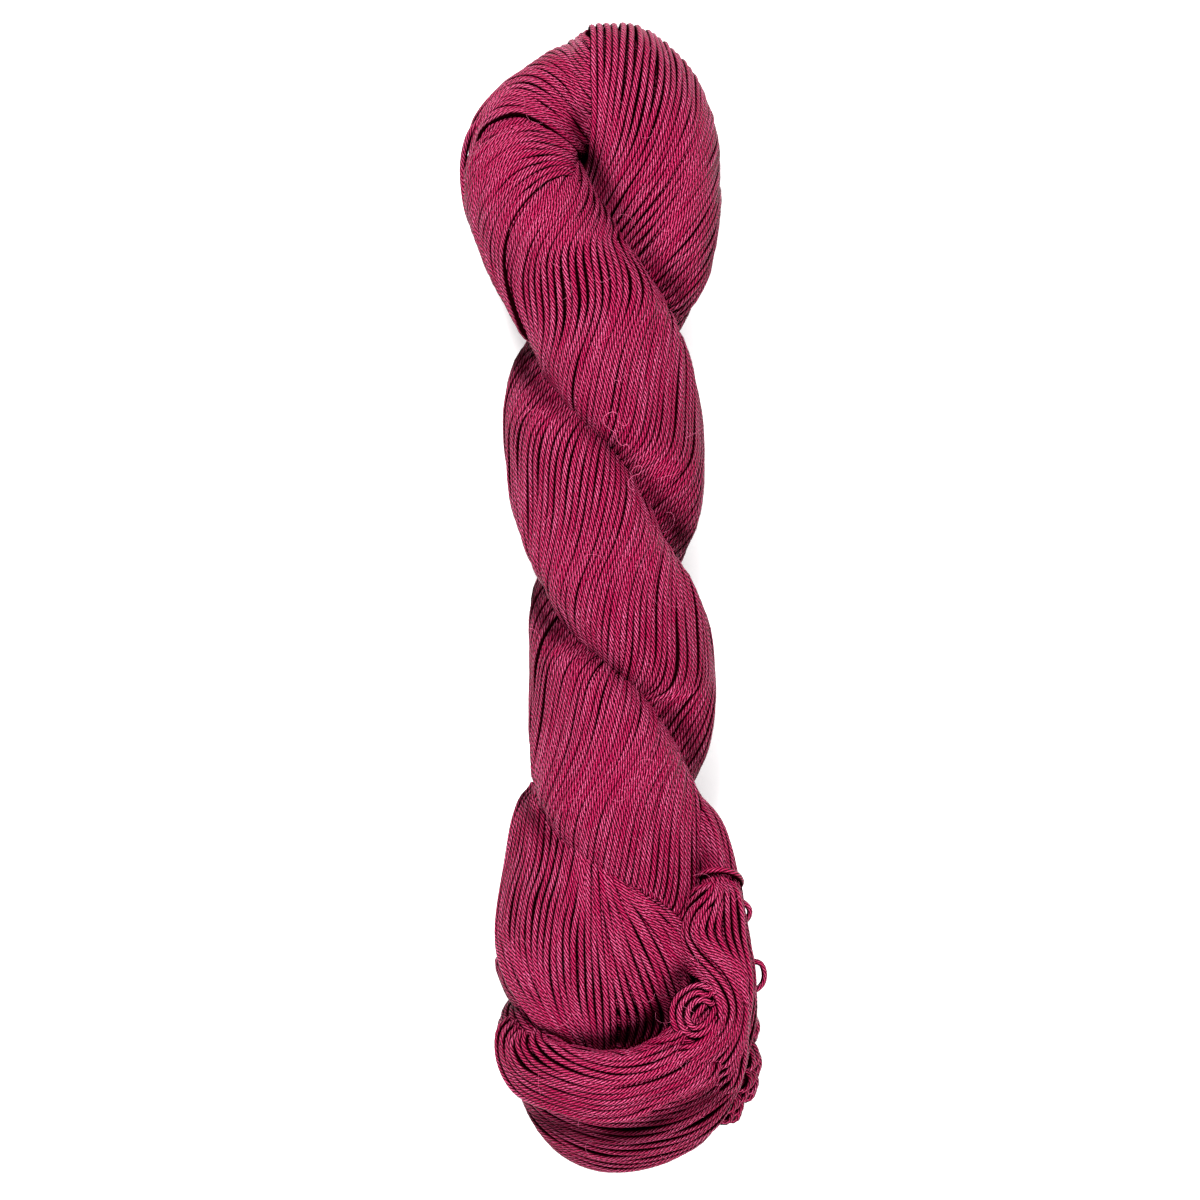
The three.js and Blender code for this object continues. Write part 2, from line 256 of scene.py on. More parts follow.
def tubes(name, points, out, radius=0.51 * STRAND, sides=TUBE_SIDES, seed=0, closed=False):
    """A round profile carried along each path: point + radius (cos a n + sin a b), with n and b
    square to the path and n as near to `out` as that allows. The radius may differ from step
    to step. The UV map is the share round it and the millimetres along it, which start at a
    different number for each strand."""
    count, steps, _ = points.shape
    points = placed(points)
    if closed:
        path = unit(np.roll(points, -1, 1) - np.roll(points, 1, 1))
        joined = [np.concatenate([each, each[:, :1]], axis=1) for each in (points, path, out)]
        points, path, out = joined
        steps += 1
    else:
        path = unit(np.gradient(points, axis=1))
    first = unit(out - (out * path).sum(-1, keepdims=True) * path)
    second = np.cross(path, first)
    a = 2 * np.pi * np.arange(sides) / sides
    size = np.ones(steps) * radius * MILLIMETRE
    ring = np.cos(a)[:, None] * first[:, :, None] + np.sin(a)[:, None] * second[:, :, None]
    vertices = points[:, :, None] + size[:, None, None] * ring
    strand = np.arange(count)[:, None, None] * steps * sides
    step = np.arange(steps - 1)[:, None] * sides
    side, after = np.arange(sides), (np.arange(sides) + 1) % sides
    here, ahead = strand + step, strand + step + sides
    faces = np.stack([here + side, here + after, ahead + after, ahead + side], -1).reshape(-1, 4)
    rng = np.random.default_rng(seed + 1000)
    along = lengths(points) / MILLIMETRE + rng.uniform(0, 300, (count, 1))
    v0 = np.broadcast_to(along[:, :-1, None], (count, steps - 1, sides))
    v1 = np.broadcast_to(along[:, 1:, None], (count, steps - 1, sides))
    u0 = np.broadcast_to(side / sides, (count, steps - 1, sides))
    u1 = u0 + 1 / sides
    uv = np.stack([np.stack(pair, -1) for pair in ((u0, v0), (u1, v0), (u1, v1), (u0, v1))], -2)
    starts = (np.arange(count)[:, None] * steps * sides + side[::-1]).tolist()
    ends = (np.arange(count)[:, None] * steps * sides + (steps - 1) * sides + side).tolist()
    mesh = bpy.data.meshes.new(name)
    mesh.from_pydata(vertices.reshape(-1, 3).tolist(), [], faces.tolist() + starts + ends)
    layer = mesh.uv_layers.new(name="UVMap")
    flat = np.zeros((len(mesh.loops), 2), np.float32)
    flat[: faces.size] = uv.reshape(-1, 2)
    layer.data.foreach_set("uv", flat.ravel())
    mesh.polygons.foreach_set("use_smooth", np.arange(len(mesh.polygons)) < len(faces))
    mesh.update()
    piece = bpy.data.objects.new(name, mesh)
    bpy.context.scene.collection.objects.link(piece)
    return piece


def node(tree, kind, inputs=None, **settings):
    """A node with its settings, and its inputs either linked or given their values."""
    made = tree.nodes.new(kind)
    for name, value in settings.items():
        setattr(made, name, value)
    for name, value in (inputs or {}).items():
        if isinstance(value, bpy.types.NodeSocket):
            tree.links.new(value, made.inputs[name])
        else:
            made.inputs[name].default_value = value
    return made


def maths(tree, operation, a, b=0.0):
    """One Math node on two values or sockets."""
    return node(tree, "ShaderNodeMath", {0: a, 1: b}, operation=operation).outputs[0]


def eased(tree, value, low, high, least=0.0):
    """One Map Range node: `least` below low and 1 above high, with a smooth step between."""
    inputs = {0: value, 1: low, 2: high, 3: least, 4: 1.0}
    return node(tree, "ShaderNodeMapRange", inputs, interpolation_type="SMOOTHSTEP").outputs[0]


def plain(name, values):
    """A material with these values on its Principled shader's own sockets."""
    material = bpy.data.materials.new(name)
    material.use_nodes = True
    for socket, value in values.items():
        material.node_tree.nodes["Principled BSDF"].inputs[socket].default_value = value
    return material


def node_group(name, inputs, outputs):
    """An empty shader node group with these sockets, and its two end nodes."""
    group = bpy.data.node_groups.new(name, "ShaderNodeTree")
    for socket, kind, value in inputs:
        made = group.interface.new_socket(socket, in_out="INPUT", socket_type=kind)
        made.default_value = value
    for socket, kind in outputs:
        group.interface.new_socket(socket, in_out="OUTPUT", socket_type=kind)
    return group, group.nodes.new("NodeGroupInput"), group.nodes.new("NodeGroupOutput")


# The plies: ridges that run round the strand as a screw thread does, each ridge a half round
# Height shapes the bump and places a painted highlight on the ply crests; Gap places painted shade in the
# grooves between the plies
WAVER_LENGTH = 20.0
GAP_FROM = 0.05
GAP_TO = 0.72
PLY_TWIST, start, end = node_group(
    "ply_twist",
    [("Plies", "NodeSocketFloat", 7), ("Lay", "NodeSocketFloat", 9),
     ("Waver", "NodeSocketFloat", 0.12)],
    [("Height", "NodeSocketFloat"), ("Gap", "NodeSocketFloat")],
)
place = node(PLY_TWIST, "ShaderNodeUVMap")
split = node(PLY_TWIST, "ShaderNodeSeparateXYZ", {0: place.outputs[0]})
along_strand = node(PLY_TWIST, "ShaderNodeCombineXYZ", {0: 0.5, 1: split.outputs[1]})
drift = node(PLY_TWIST, "ShaderNodeTexNoise", {"Vector": along_strand.outputs[0], "Scale": 0.21})
drifted = maths(PLY_TWIST, "SUBTRACT", drift.outputs["Fac"], 0.5)
waver = maths(PLY_TWIST, "MULTIPLY", drifted, start.outputs["Waver"])
round_it = maths(PLY_TWIST, "MULTIPLY", split.outputs[0], start.outputs["Plies"])
per_length = maths(PLY_TWIST, "DIVIDE", start.outputs["Plies"], start.outputs["Lay"])
shifted = maths(PLY_TWIST, "ADD", split.outputs[1], maths(PLY_TWIST, "MULTIPLY", waver, WAVER_LENGTH))
along_it = maths(PLY_TWIST, "MULTIPLY", shifted, per_length)
turn = maths(PLY_TWIST, "FRACT", maths(PLY_TWIST, "ADD", round_it, along_it))
across = maths(PLY_TWIST, "MULTIPLY_ADD", turn, 2.0)
across.node.inputs[2].default_value = -1.0
square = maths(PLY_TWIST, "MULTIPLY", across, across)
height = maths(PLY_TWIST, "SQRT", maths(PLY_TWIST, "SUBTRACT", 1.02, square))
PLY_TWIST.links.new(height, end.inputs["Height"])
PLY_TWIST.links.new(eased(PLY_TWIST, square, GAP_FROM, GAP_TO), end.inputs["Gap"])

# The crest: how far out on the strand a point lies, since little light gets between strands
# The cotton material paints shade with it: the colour is painted darker towards a strand's sides.
STRAND_SIDE_SHADE, start, end = node_group(
    "strand_side_shade",
    [("Low", "NodeSocketFloat", 0.4), ("High", "NodeSocketFloat", 1)],
    [("Crest", "NodeSocketFloat")],
)
place = node(STRAND_SIDE_SHADE, "ShaderNodeUVMap")
split = node(STRAND_SIDE_SHADE, "ShaderNodeSeparateXYZ", {0: place.outputs[0]})
facing = maths(STRAND_SIDE_SHADE, "COSINE", maths(STRAND_SIDE_SHADE, "MULTIPLY", split.outputs[0], 2 * math.pi))
crest = eased(STRAND_SIDE_SHADE, facing, start.outputs["Low"], start.outputs["High"])
STRAND_SIDE_SHADE.links.new(crest, end.inputs["Crest"])

# The fibres: fine lines that lean with the plies, and slow changes of the dye along a strand
FIBRE_LEAN = 9.0
FIBRE_STRETCH = 0.18
COTTON_GRAIN, start, end = node_group(
    "cotton_grain",
    [("Fineness", "NodeSocketFloat", 9), ("Dye length", "NodeSocketFloat", 0.06)],
    [("Fibre", "NodeSocketFloat"), ("Dye", "NodeSocketFloat")],
)
place = node(COTTON_GRAIN, "ShaderNodeUVMap")
split = node(COTTON_GRAIN, "ShaderNodeSeparateXYZ", {0: place.outputs[0]})
around = maths(COTTON_GRAIN, "MULTIPLY", split.outputs[0], FIBRE_LEAN)
leaned = maths(COTTON_GRAIN, "ADD", around, split.outputs[1])
stretched = maths(COTTON_GRAIN, "MULTIPLY", split.outputs[1], FIBRE_STRETCH)
lines = node(COTTON_GRAIN, "ShaderNodeCombineXYZ", {0: leaned, 1: stretched})
finely = {"Vector": lines.outputs[0], "Scale": start.outputs["Fineness"], "Detail": 3.0}
fibre = node(COTTON_GRAIN, "ShaderNodeTexNoise", finely)
COTTON_GRAIN.links.new(fibre.outputs["Fac"], end.inputs["Fibre"])
slow = node(COTTON_GRAIN, "ShaderNodeCombineXYZ", {0: 0.0, 1: split.outputs[1]})
slowly = {"Vector": slow.outputs[0], "Scale": start.outputs["Dye length"], "Detail": 2.0}
dye = node(COTTON_GRAIN, "ShaderNodeTexNoise", slowly)
COTTON_GRAIN.links.new(dye.outputs["Fac"], end.inputs["Dye"])


# shares of the plies, the fibres and the dye's slow changes in where the colour turns to the painted
# highlight
PLY_SHARE = 0.45
FIBRE_SHARE = 0.6
DYE_SHARE = 0.2
HIGHLIGHT_FROM = 0.8
HIGHLIGHT_TO = 1.09
# the light_reach at which a hollow's painted shade is darkest and at which a point counts as open
DARK_BELOW = 0.7
OPEN_ABOVE = 0.99
LEAST_SHOWN = 0.08
PLY_DEPTH = 0.0006
FIBRE_RELIEF = 0.25
GLOSS = 0.08


def cotton(name, shade_colour, full, highlight_colour):
    """Mercerised cotton: the dye is full on the plies, with a painted highlight along the ply crests
    and fibres that catch the light, and painted shade in the grooves between the plies. The plies and
    fibres are bump. The colour goes to painted shade between strands and where light_reach is low."""
    material = bpy.data.materials.new(name)
    material.use_nodes = True
    tree = material.node_tree
    surface = tree.nodes["Principled BSDF"]
    plies = node(tree, "ShaderNodeGroup", node_tree=PLY_TWIST)
    grain = node(tree, "ShaderNodeGroup", node_tree=COTTON_GRAIN)
    # the colour goes from the dye's full colour to a painted highlight on ply crests and bright fibres
    dye_and_highlight = node(tree, "ShaderNodeMix", {6: full, 7: highlight_colour}, data_type="RGBA")
    crest = maths(tree, "MULTIPLY", plies.outputs["Height"], PLY_SHARE)
    dye_and_ply_crest = maths(tree, "MULTIPLY_ADD", grain.outputs["Dye"], DYE_SHARE)
    tree.links.new(crest, dye_and_ply_crest.node.inputs[2])
    highlight_amount = maths(tree, "MULTIPLY_ADD", grain.outputs["Fibre"], FIBRE_SHARE)
    tree.links.new(dye_and_ply_crest, highlight_amount.node.inputs[2])
    tree.links.new(eased(tree, highlight_amount, HIGHLIGHT_FROM, HIGHLIGHT_TO), dye_and_highlight.inputs[0])
    between = node(tree, "ShaderNodeMix", {6: dye_and_highlight.outputs[2], 7: shade_colour}, data_type="RGBA")
    tree.links.new(plies.outputs["Gap"], between.inputs[0])
    side_shade = node(tree, "ShaderNodeGroup", node_tree=STRAND_SIDE_SHADE)
    reached = node(tree, "ShaderNodeAttribute", attribute_name="light_reach")
    lit = eased(tree, reached.outputs["Fac"], DARK_BELOW, OPEN_ABOVE, LEAST_SHOWN)
    # shown is the share left unshaded; the rest is painted shade between strands and in the folds
    shown = maths(tree, "MULTIPLY", side_shade.outputs["Crest"], lit)
    seen = node(tree, "ShaderNodeMix", {0: shown, 6: shade_colour, 7: between.outputs[2]}, data_type="RGBA")
    tree.links.new(seen.outputs[2], surface.inputs["Base Color"])
    raised = maths(tree, "MULTIPLY_ADD", grain.outputs["Fibre"], FIBRE_RELIEF)
    tree.links.new(plies.outputs["Height"], raised.node.inputs[2])
    bump = node(tree, "ShaderNodeBump", {"Height": raised, "Distance": PLY_DEPTH, "Strength": 1.0})
    tree.links.new(bump.outputs[0], surface.inputs["Normal"])
    surface.inputs["Roughness"].default_value = 0.42
    tree.links.new(maths(tree, "MULTIPLY", shown, GLOSS), surface.inputs["Specular IOR Level"])
    surface.inputs["Specular Tint"].default_value = (1.0, 0.55, 0.72, 1.0)
    return material


# a near black that is painted shade, the dye's full colour, and a pink that is a painted highlight
PAINTED_SHADE_COLOUR = (0.006, 0.0001, 0.0006, 1)
FULL = (0.29, 0.001, 0.042, 1)
PAINTED_HIGHLIGHT = (1.0, 0.28, 0.54, 1)
YARN = cotton("yarn", PAINTED_SHADE_COLOUR, FULL, PAINTED_HIGHLIGHT)


def yarn_piece(piece, material=YARN):
    """A piece of the hank's own yarn: it stands for the wound solid and moves with it."""
    piece.data.materials.append(material)
    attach(piece, "root")
    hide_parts("hank")
    return piece


arms = np.array(FIRST_ARM + [fold_section(row) for row in FOLD] + SECOND_ARM, float)
arms[:, 9] = np.cumsum(arms[:, 9])
arm_rows = even_rows(arms, 0, len(arms) - 1, TUBE_STEP)
arm_strands = wound(arms, ARM_STRANDS, arm_rows, seed=1, faster=0.32)
for part, name in enumerate(("winding_a", "winding_b", "winding_c")):
    some = slice(part * STRANDS_IN_A_GROUP, (part + 1) * STRANDS_IN_A_GROUP)
    yarn_piece(tubes(name, arm_strands[0][some], arm_strands[1][some], seed=part))

# The yarn inside the hank
# Under the outer strands lie the rest of the hundred turns. They show only as a dark depth
# between the outer ones, so they are one closed skin a strand's thickness further in,
# its colour painted near black as painted shade.
CORE_INSET = 1.5 * STRAND
CORE_SIDES = 36
CORE_STEP = 3.0


def core(name, rows, by_side=False):
    """The bundle's outline, CORE_INSET further in, as a closed skin of even steps."""
    t = even_rows(rows, 0, len(rows) - 1, CORE_STEP)
    angle = np.linspace(0, 2 * np.pi, CORE_SIDES, endpoint=False)
    every = np.repeat(t[:, None], CORE_SIDES, 1)
    skin = on_outline(rows, every, np.tile(angle, (len(t), 1)), CORE_INSET, by_side)
    middle = skin.mean(axis=1, keepdims=True)
    skin = placed(np.concatenate([skin[:1], skin, skin[-1:]]))
    skin[0], skin[-1] = placed(middle[0]), placed(middle[-1])
    steps = len(skin)
    step = np.arange(steps - 1)[:, None] * CORE_SIDES
    side, after = np.arange(CORE_SIDES), (np.arange(CORE_SIDES) + 1) % CORE_SIDES
    ahead = step + CORE_SIDES
    faces = np.stack([step + side, step + after, ahead + after, ahead + side], -1).reshape(-1, 4)
    mesh = bpy.data.meshes.new(name)
    mesh.from_pydata(skin.reshape(-1, 3).tolist(), [], faces.tolist())
    mesh.polygons.foreach_set("use_smooth", np.ones(len(faces), bool))
    mesh.validate()
    piece = bpy.data.objects.new(name, mesh)
    bpy.context.scene.collection.objects.link(piece)
    return piece


# The skin's colour is painted shade: near black in two tones, mottled at random.
DEPTH_LIGHTER = (0.02, 0.0002, 0.002, 1)
DEPTH_DARKER = (0.008, 0.0001, 0.001, 1)
MOTTLE_SCALE = 900.0
SHADED = plain("yarn_in_the_depth", {"Roughness": 0.9, "Specular IOR Level": 0.02})
depth = SHADED.node_tree
place = node(depth, "ShaderNodeTexCoord").outputs["Object"]
mottle = node(depth, "ShaderNodeTexNoise", {"Vector": place, "Scale": MOTTLE_SCALE})
tone = node(depth, "ShaderNodeMix", {6: DEPTH_LIGHTER, 7: DEPTH_DARKER}, data_type="RGBA")
depth.links.new(mottle.outputs["Fac"], tone.inputs[0])
depth.links.new(tone.outputs[2], depth.nodes["Principled BSDF"].inputs["Base Color"])
yarn_piece(core("inner_windings", arms), SHADED)

# a ball of yarn, painted near black as painted shade, closes the bottom of the eye
EYE_BALL = {"x": -7, "y": 108.5, "z": 14, "radius": 8}
EYE_RINGS = 15
EYE_SIDES = 20
up_the_eye = np.linspace(-0.98, 0.98, EYE_RINGS)
eye_path = np.tile([float(EYE_BALL["x"]), EYE_BALL["y"], EYE_BALL["z"]], (EYE_RINGS, 1))
eye_path[:, 2] += EYE_BALL["radius"] * up_the_eye
eye_width = EYE_BALL["radius"] * np.sqrt(1 - up_the_eye**2)
eye_out = np.tile([1.0, 0, 0], (1, EYE_RINGS, 1))
yarn_piece(tubes("eye_depth", eye_path[None], eye_out, radius=eye_width, sides=EYE_SIDES), SHADED)

# The strands over the fold
# Where the hoop is folded round the eye its outer strands slide over each other: the right
# half's lie over the left half's along a crease, and the left half's in an upper and a lower group.
# each row is one strand through x y z points, from the crease or the eye to under the rim
RIGHT_SHEET = [
    [(-6.3, 102.9, 17.7), (-3.9, 109, 24.7), (-4.2, 117.2, 29.6), (-4.4, 126.7, 31.1),
     (-4.9, 136, 29), (-5.5, 142.2, 22), (-4.5, 140.5, 11)],
    [(-4.2, 98.8, 19.3), (-1.6, 105.6, 28.4), (1.5, 116.1, 32.1), (3.3, 127.6, 32.4), (4, 138, 27.6),
     (3.8, 142.9, 17.4), (3.6, 140.5, 8)],
    [(-2.1, 93.2, 26.9), (2.5, 102.5, 32.5), (7.8, 113.1, 33.3), (11.1, 124.4, 32.1), (11.4, 134.6, 26.6),
     (9.6, 140.4, 16.8), (9.5, 138.5, 8)],
    [(0, 88.4, 30.6), (6.8, 98.2, 34.6), (13.7, 108.7, 33.3), (18.1, 120.1, 29.9), (18.6, 129.3, 21.4),
     (17.5, 133, 14.5), (16.5, 131, 8)],
    [(2.4, 84.2, 32.3), (9, 92.8, 35.2), (15.6, 101.9, 34), (20.7, 110.9, 29.6), (23.1, 118.8, 22.2),
     (21.5, 124, 14), (19.5, 126, 7.5)],
    [(5.2, 80, 32.4), (11.4, 87.3, 34.5), (17.5, 94.8, 34), (21.9, 102.5, 29.7), (24.1, 109.2, 23),
     (24.2, 114.8, 15.2), (21, 119, 7.1)],
    [(8.3, 75.9, 31), (14.2, 82.3, 32.5), (19.7, 89, 31.9), (23.3, 95.9, 27.7), (24.9, 102, 21.6),
     (24.4, 106.5, 14.2), (22.1, 111.3, 7.3)],
    [(11.8, 71.7, 27.4), (16.6, 76.9, 28.3), (20.9, 82.4, 27), (23.4, 87.7, 23), (24.8, 94.3, 21.3),
     (24.4, 97.4, 14.8), (22.8, 100.9, 8.8)],
    [(14.2, 68.9, 22.5), (17.3, 72.8, 23.6), (20.1, 76.7, 22.1), (22.2, 81.1, 22), (22.8, 84.9, 20.2),
     (22.3, 87.4, 15.8), (21.6, 89.4, 11)],
]
LEFT_OVER = [
    [(-2.8, 134.5, 30.2), (-4.4, 137.4, 28.6), (-5.6, 139.8, 26.1), (-6.3, 141.4, 23),
     (-5.9, 142.3, 19.5), (-5, 142.4, 16), (-4.1, 142.1, 12.5)],
    [(-2.7, 129, 31.4), (-5.6, 133.7, 29.7), (-8.3, 137.1, 26.2), (-9.7, 138.3, 20.8),
     (-11.3, 139.1, 15.3), (-12.5, 138.3, 9.9), (-13.4, 135.4, 5.1)],
    [(-2.9, 123.4, 31.6), (-6.4, 128.6, 30.2), (-9.3, 131.9, 26.4), (-13.4, 135, 22.8),
     (-16.6, 136, 17.5), (-19.1, 134.3, 11.9), (-20.7, 131.5, 6.3)],
    [(-3.2, 118.2, 30.2), (-7.5, 123.5, 28.7), (-12.1, 128.7, 27.3), (-17.5, 132.5, 24.3),
     (-22.3, 132.2, 19.1), (-25.9, 129.5, 13.4), (-28.5, 125.3, 8.1)],
    [(-3.8, 114.6, 22.8), (-7.8, 118.8, 27.9), (-13.6, 125, 28.4), (-20.7, 129.3, 26.3),
     (-27.8, 127.5, 22.2), (-33, 122.2, 18.6), (-35.3, 115.5, 13.3)],
    [(-5.2, 112, 16), (-9.3, 115.7, 25.7), (-16, 122.8, 29.7), (-25.7, 126.1, 27.4),
     (-32.6, 119.6, 24.5), (-34.6, 111.8, 20), (-33.6, 105, 14)],
    [(-7, 110.7, 22.7), (-12.9, 115.7, 31), (-22.4, 121.8, 31.6), (-31, 119.6, 29.6),
     (-34.2, 112, 27.5), (-35, 104.5, 23), (-33, 97.5, 17)],
]
LEFT_UNDER = [
    [(-7.7, 109.9, 27.4), (-12.3, 114.5, 32.3), (-19.3, 118, 34.1), (-27.4, 116.5, 34.3),
     (-33.9, 111.5, 33.8), (-36.2, 104.4, 29.5), (-34.6, 98, 20.5)],
    [(-7.7, 109.2, 29.6), (-13.7, 113.7, 35), (-22.6, 114.9, 36.9), (-30.4, 109.9, 37.1),
     (-34.9, 102.4, 34.3), (-35.2, 96, 27.7), (-32.9, 91.7, 19.7)],
    [(-7.7, 108.5, 31.8), (-15.4, 111.8, 37.4), (-24.9, 109.7, 39.1), (-31.4, 102.1, 38.3),
     (-33.5, 94.1, 32.5), (-30.9, 85, 30.9), (-26.8, 75.7, 31.7)],
    [(-7.7, 107.8, 33.5), (-16, 109, 39.1), (-24.4, 103.5, 41.4), (-29.8, 95.2, 39.2),
     (-30.2, 86.3, 34.3), (-26.7, 76.6, 34.2), (-22.2, 67.2, 33.3)],
    [(-8.4, 107.5, 35.4), (-16.4, 106.3, 40.3), (-23.2, 99.5, 43), (-27.3, 90.9, 40.4),
     (-27.1, 81.4, 37.4), (-24.1, 71.8, 36.6), (-20.2, 63.2, 33.3)],
]


TRIAL_STRANDS = 300
STRAY = 0.06
UNEVEN = 0.12


def sheet(table, first_lift, last_lift, seed, pitch=STRAND, dive=2.0, dive_length=6.0):
    """Strands side by side between drawn ones: Catmull-Rom across the drawn strands and along
    their points, `pitch` apart where they spread most. They stand out by a lift that changes
    evenly from the first to the last, and go `dive` inwards at both ends."""
    rows = np.array(table)
    lines, spots = rows.shape[:2]
    between = np.linspace(0, lines - 1, TRIAL_STRANDS)
    trial = through(rows.reshape(lines, -1), between).reshape(TRIAL_STRANDS, spots, 3)
    spread = np.linalg.norm(np.diff(trial[:, spots // 3 : -2], axis=0), axis=2).max(axis=1)
    width = np.concatenate([[0], np.cumsum(spread)])
    count = max(3, round(width[-1] / pitch))
    at = np.interp(np.linspace(0, width[-1], count), width, between)
    chosen = through(rows.reshape(lines, -1), at)
    longest = np.linalg.norm(np.diff(rows, axis=1), axis=2).sum(axis=1).max()
    steps = np.linspace(0, spots - 1, round(longest / TUBE_STEP) + 1)
    by_spot = chosen.reshape(count, spots, 3).transpose(1, 0, 2).reshape(spots, -1)
    points = through(by_spot, steps).reshape(len(steps), count, 3).transpose(1, 0, 2)
    along = unit(np.gradient(points, axis=1))
    out = unit(np.cross(along, unit(np.gradient(points, axis=0))))
    out = out * np.sign(out[..., 2].mean())
    rng = np.random.default_rng(seed)
    length = lengths(points)
    from_end = np.clip(np.minimum(length, length[:, -1:] - length) / dive_length, 0, 1)
    shown = from_end**2 * (3 - 2 * from_end)
    lift = np.linspace(first_lift, last_lift, count)[:, None] + UNEVEN * waves(rng, count, length, 20, 60)
    sideways = STRAY * STRAND * waves(rng, count, length, 18, 60)
    rise = lift * shown - dive * (1 - shown)
    return sunk(points, out) + rise[..., None] * out + sideways[..., None] * np.cross(out, along), out


yarn_piece(tubes("fold_left_under", *sheet(LEFT_UNDER, 0.6, 0.4, seed=31, pitch=1.9), seed=31))
yarn_piece(tubes("fold_left_over", *sheet(LEFT_OVER, 1.2, 0.9, seed=32, pitch=1.9), seed=32))
yarn_piece(tubes("fold_right", *sheet(RIGHT_SHEET, 2.2, 0.6, seed=33), seed=33))


def drawn(strands, steps, up=(0, 0, 1)):
    """Single strands: Catmull-Rom through the points drawn for each, at even lengths."""
    points = []
    for strand in strands:
        rows = np.array(strand, float)
        t = np.linspace(0, len(rows) - 1, 20 * len(rows))
        along = np.concatenate([[0], np.cumsum(np.linalg.norm(np.diff(through(rows, t), axis=0), axis=1))])
        points.append(through(rows, np.interp(np.linspace(0, along[-1], steps), along, t)))
    points = np.array(points)
    return points, np.broadcast_to(unit(np.array(up, float)), points.shape)


LOOSE_AT_THE_FOLD = [
    [(-25, 124.5, 27), (-31, 122.8, 26), (-35.8, 118.2, 24), (-37.7, 111, 22), (-37.5, 103.5, 21),
     (-36, 96.5, 22), (-32.5, 90, 24)],
    [(-22, 122, 30), (-29.5, 120.5, 28.5), (-34.5, 115, 27), (-36.4, 108, 25.5), (-36, 100, 25),
     (-33.4, 92, 26)],
]
yarn_piece(tubes("loose_at_the_fold", *drawn(LOOSE_AT_THE_FOLD, 44, up=(-0.6, 0, 1)), seed=34))

# The strands that go into the pouch
# Below the last crossing the second arm's strands part: the left ones hang straight down and
# the right ones lean to the right, and all of them dive behind the band's rim.
PANEL_LEFT = [
    [(-21, -44.5, 17.2), (-24, -53.7, 21), (-26, -63.6, 23.4), (-27.5, -73.5, 20.7),
     (-28.5, -83.2, 22.5), (-27, -91, 29.4), (-22.3, -99.9, 29.7), (-15.5, -107.8, 30.2)],
    [(-19.5, -46, 20.1), (-21, -53.3, 27.3), (-22.3, -62.5, 30.8), (-24.9, -72.2, 27.5),
     (-26, -82.3, 28), (-24.6, -91.7, 32.1), (-19.5, -100.8, 31.1), (-13, -109, 30.6)],
    [(-17.2, -48, 26.3), (-17.5, -55.4, 32.8), (-18.4, -64.8, 34.9), (-21, -74, 32.4),
     (-22, -83.7, 33.3), (-20.8, -93.4, 33.8), (-16.6, -102.1, 31.8), (-11, -110.2, 30.6)],
    [(-14.5, -50.5, 29.9), (-13, -57.7, 36), (-14.5, -66.6, 37.4), (-17.1, -75.6, 35.5),
     (-18.3, -85, 35.8), (-17.8, -94.4, 34.5), (-14.4, -103, 32.2), (-9.5, -111, 30.7)],
    [(-11.8, -53.5, 33.2), (-9.8, -60.5, 38.5), (-11.6, -69.2, 38.7), (-13.8, -77.9, 37.4),
     (-14.8, -86.9, 37), (-14.4, -95.7, 34.8), (-11.9, -104.1, 32.5), (-8, -112, 30.4)],
    [(-9.2, -56.5, 36.7), (-8.1, -64, 40), (-9.6, -72.2, 39.2), (-11.2, -80.4, 38.4),
     (-11.8, -88.7, 37.3), (-11.2, -96.7, 34.9), (-9.2, -104.6, 32.7), (-6.5, -112.2, 30.5)],
    [(-7.2, -59, 39.1), (-7, -66.8, 40.3), (-7.2, -74.6, 39.7), (-8, -82.4, 38.9),
     (-8.2, -90.1, 37.3), (-7.8, -97.7, 35), (-6.5, -105.1, 32.7), (-5, -112.5, 30.4)],
    [(-5.8, -60.5, 40), (-5.4, -68.1, 40.6), (-5.2, -75.8, 40.1), (-5.3, -83.4, 39.1),
     (-5.1, -90.8, 37.2), (-4.7, -98.2, 35), (-4.1, -105.5, 32.6), (-3.5, -112.8, 30.2)],
    [(-4.8, -61.5, 40.3), (-4.3, -69, 40.8), (-3.7, -76.5, 40.3), (-3.2, -84, 39.2),
     (-2.7, -91.2, 37.1), (-2.1, -98.5, 34.9), (-1.8, -105.6, 32.5), (-1.5, -112.8, 30)],
]
